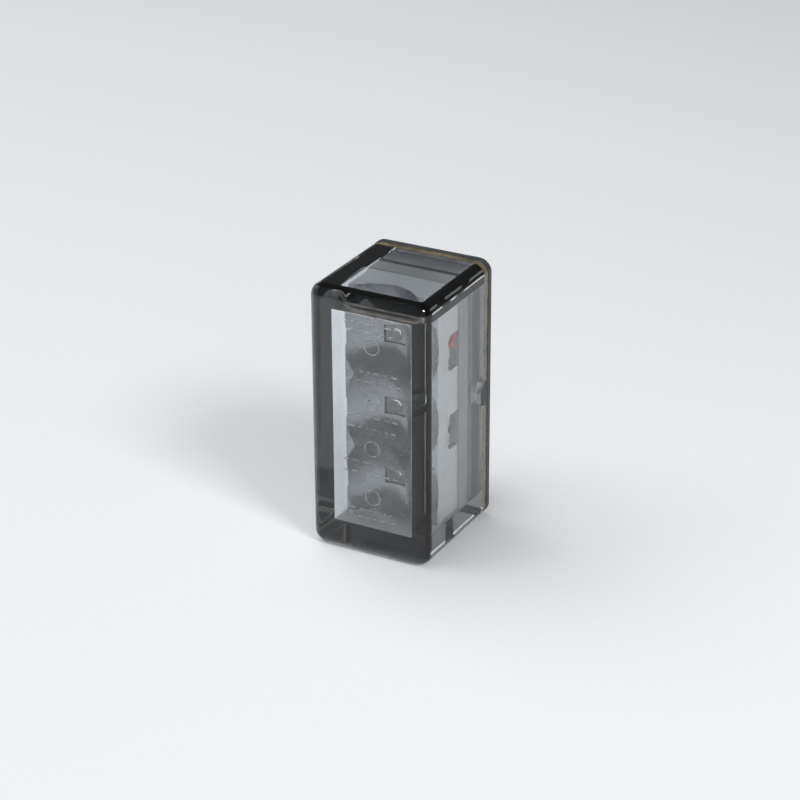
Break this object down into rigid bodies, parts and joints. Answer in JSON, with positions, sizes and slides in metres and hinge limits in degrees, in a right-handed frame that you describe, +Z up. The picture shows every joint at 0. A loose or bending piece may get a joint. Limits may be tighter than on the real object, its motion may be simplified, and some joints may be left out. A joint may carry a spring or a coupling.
{
  "type": "led vehicle lamp",
  "caption": "Small upright sealed LED vehicle lamp: clear thick-walled cover, stacked reflector bowls, black base with fixing studs and a cable grommet at the back.",
  "frame": {"origin": "centre of the flat bottom face of the clear cover, on which the loose lamp stands", "axes": "+Z up along the lamp's height, the lens faces -Y, the base and its studs face +Y"},
  "size_m": [0.021, 0.032, 0.045],
  "materials": {
    "clear_lens": "polished clear plastic",
    "reflector_chrome": "vacuum metallised, bright",
    "board_white": "white solder mask",
    "housing_black": "fine moulded grain",
    "rubber_black": "matt",
    "led_package": "satin white",
    "led_silicone": "clear silicone over yellow phosphor",
    "chip_black": "satin",
    "capacitor_tan": "satin",
    "zinc_steel": "bright zinc plate",
    "lead_red": "satin insulation",
    "lead_black": "satin insulation"
  },
  "bodies": {
    "root": {"lens_cover": "clear_lens", "reflector": "reflector_chrome", "circuit_board": "board_white", "rear_housing": "housing_black", "base_gasket": "rubber_black", "cable_grommet": "rubber_black", "led_bottom": "led_package", "led_middle": "led_package", "led_top": "led_package", "led_dome_bottom": "led_silicone", "led_dome_middle": "led_silicone", "led_dome_top": "led_silicone", "resistor_1": "chip_black", "resistor_2": "chip_black", "resistor_3": "chip_black", "resistor_4": "chip_black", "resistor_5": "chip_black", "resistor_6": "chip_black", "protection_diode": "chip_black", "regulator": "chip_black", "capacitor": "capacitor_tan", "board_screw_lower": "zinc_steel", "board_screw_upper": "zinc_steel", "stud_lower": "zinc_steel", "stud_upper": "zinc_steel", "washer_lower": "zinc_steel", "washer_upper": "zinc_steel", "nut_lower": "zinc_steel", "nut_upper": "zinc_steel", "lead_red": "lead_red", "lead_black": "lead_black"}
  },
  "joints": []
}
